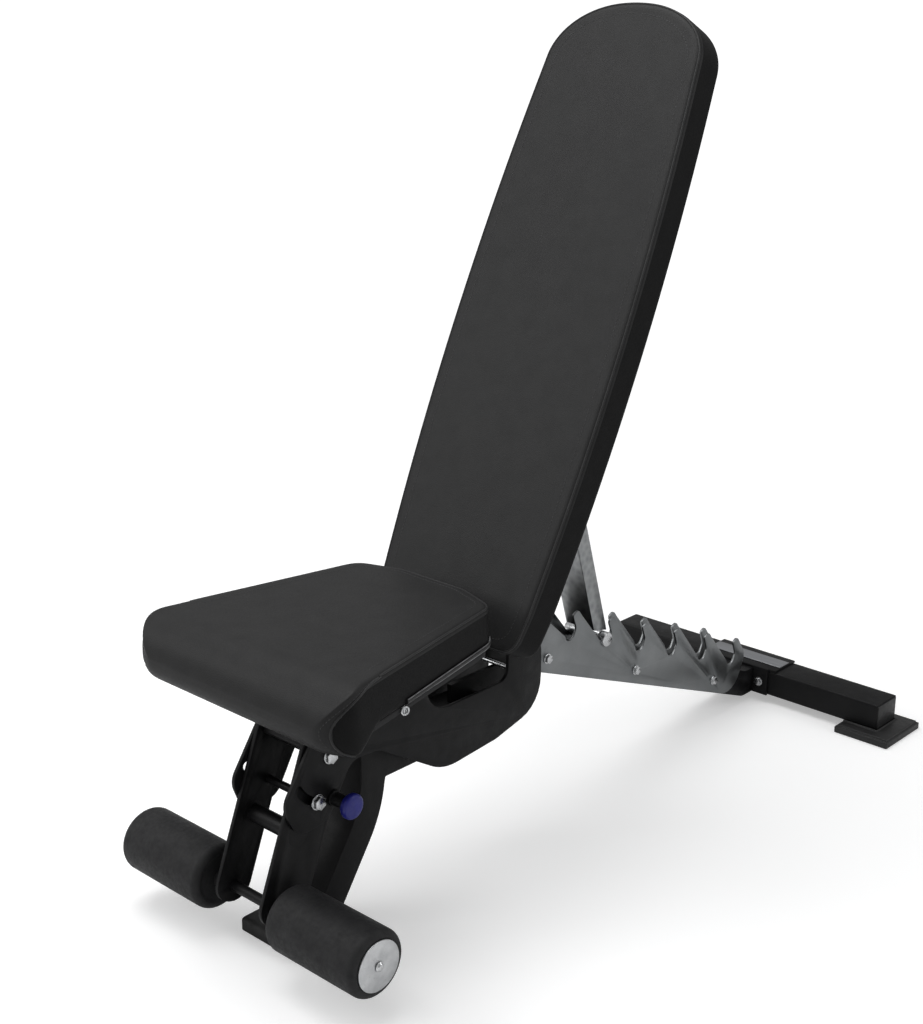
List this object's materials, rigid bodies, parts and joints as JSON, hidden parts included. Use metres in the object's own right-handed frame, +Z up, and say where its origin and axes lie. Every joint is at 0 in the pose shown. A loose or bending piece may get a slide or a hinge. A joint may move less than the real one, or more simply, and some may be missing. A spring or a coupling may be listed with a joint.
{
  "type": "adjustable weight bench",
  "caption": "Adjustable weight bench with a reclining padded back on a notched ladder, a tilting seat and a swinging leg roller holder.",
  "frame": {"origin": "on the floor, in the middle of the bench's overall length and width, with the back at its working angle", "axes": "+Z up, -Y towards the leg rollers (the sitter's feet), +X to the sitter's left, the side with the pull pin"},
  "size_m": [0.676, 1.3738, 1.3006],
  "materials": {
    "black_powder_coat": "satin",
    "satin_steel": "satin",
    "galvanised_steel": "satin",
    "zinc_plated": "polished",
    "black_plastic": "matte",
    "black_rubber": "matte",
    "foam": "matte",
    "upholstery": "satin",
    "board": "matte",
    "blue_plastic": "glossy",
    "badge_metal": "satin"
  },
  "bodies": {
    "frame": {"rear_tube": "black_powder_coat", "rear_tube_plugs": "black_plastic", "rear_tray_left": "black_plastic", "rear_tray_right": "black_plastic", "saddle_bracket": "black_powder_coat", "saddle_bolts": "zinc_plated", "badge_plate": "badge_metal", "spine_tube": "black_powder_coat", "spine_plug": "black_plastic", "ladder_plate_left": "satin_steel", "ladder_plate_right": "satin_steel", "ladder_bolts": "zinc_plated", "ladder_bar": "zinc_plated", "side_plate_left": "black_powder_coat", "side_plate_right": "black_powder_coat", "weld_spacers": "black_powder_coat", "spine_gusset": "black_powder_coat", "tie_rod": "zinc_plated", "front_leg": "black_powder_coat", "front_foot": "black_plastic", "foot_screws": "zinc_plated", "seat_bumper": "black_rubber", "seat_hinge_bolt": "zinc_plated", "holder_pivot_bolt": "zinc_plated", "pin_housing": "black_powder_coat"},
    "back_bolt": {"back_hinge_bolt": "zinc_plated"},
    "back": {"back_frame": "black_powder_coat", "back_hinge_sleeve": "black_plastic", "back_frame_plug": "black_plastic", "back_straps": "black_powder_coat", "back_board": "board", "back_screws": "zinc_plated", "back_pad": "upholstery", "strut_pin": "zinc_plated"},
    "strut": {"strut": "galvanised_steel"},
    "seat": {"seat_bracket": "black_powder_coat", "seat_board": "board", "seat_screws": "zinc_plated", "seat_pad": "upholstery", "seat_side_studs": "zinc_plated"},
    "holder": {"holder_plate_left": "black_powder_coat", "holder_plate_right": "black_powder_coat", "holder_pivot_tube": "black_powder_coat", "holder_top_rod": "black_powder_coat", "holder_cross_tube": "black_powder_coat", "holder_guide_bolt": "zinc_plated", "roller_axle": "black_powder_coat", "axle_collars": "black_plastic", "axle_screws": "zinc_plated"},
    "roller_left": {"roller_foam_left": "foam", "roller_core_left": "black_plastic", "roller_cap_left": "zinc_plated"},
    "roller_right": {"roller_foam_right": "foam", "roller_core_right": "black_plastic", "roller_cap_right": "zinc_plated"},
    "pull_pin": {"pull_pin": "zinc_plated", "pull_knob": "blue_plastic"}
  },
  "joints": [
    {"name": "back_lift", "type": "hinge", "parent": "frame", "child": "back_bolt", "pos_m": [0, -0.14907, 0.3775], "axis": [1, 0, 0], "range_deg": [0, 20]},
    {"name": "back_recline", "type": "hinge", "parent": "back_bolt", "child": "back", "pos_m": [0, -0.14907, 0.3775], "axis": [1, 0, 0], "range_deg": [-64, 0]},
    {"name": "strut_fold", "type": "hinge", "parent": "back", "child": "strut", "pos_m": [0, -0.00879, 0.66511], "axis": [1, 0, 0], "range_deg": [0, 98.88]},
    {"name": "seat_tilt", "type": "hinge", "parent": "frame", "child": "seat", "pos_m": [0, -0.39407, 0.352], "axis": [1, 0, 0], "range_deg": [-10, 0]},
    {"name": "holder_swing", "type": "hinge", "parent": "frame", "child": "holder", "pos_m": [0, -0.53907, 0.298], "axis": [1, 0, 0], "range_deg": [-38, 0]},
    {"name": "left_roller_spin", "type": "hinge", "parent": "holder", "child": "roller_left", "pos_m": [0, -0.63693, 0.09373], "axis": [1, 0, 0], "continuous": true},
    {"name": "right_roller_spin", "type": "hinge", "parent": "holder", "child": "roller_right", "pos_m": [0, -0.63693, 0.09373], "axis": [1, 0, 0], "continuous": true},
    {"name": "pull_pin_slide", "type": "slide", "parent": "frame", "child": "pull_pin", "axis": [1, 0, 0], "range_m": [0, 0.01], "stiffness_N_per_m": 400, "springref_m": -0.005}
  ],
  "couplings": [
    {"joint": "strut_fold", "follows": "back_recline", "ratio": -1.545}
  ]
}
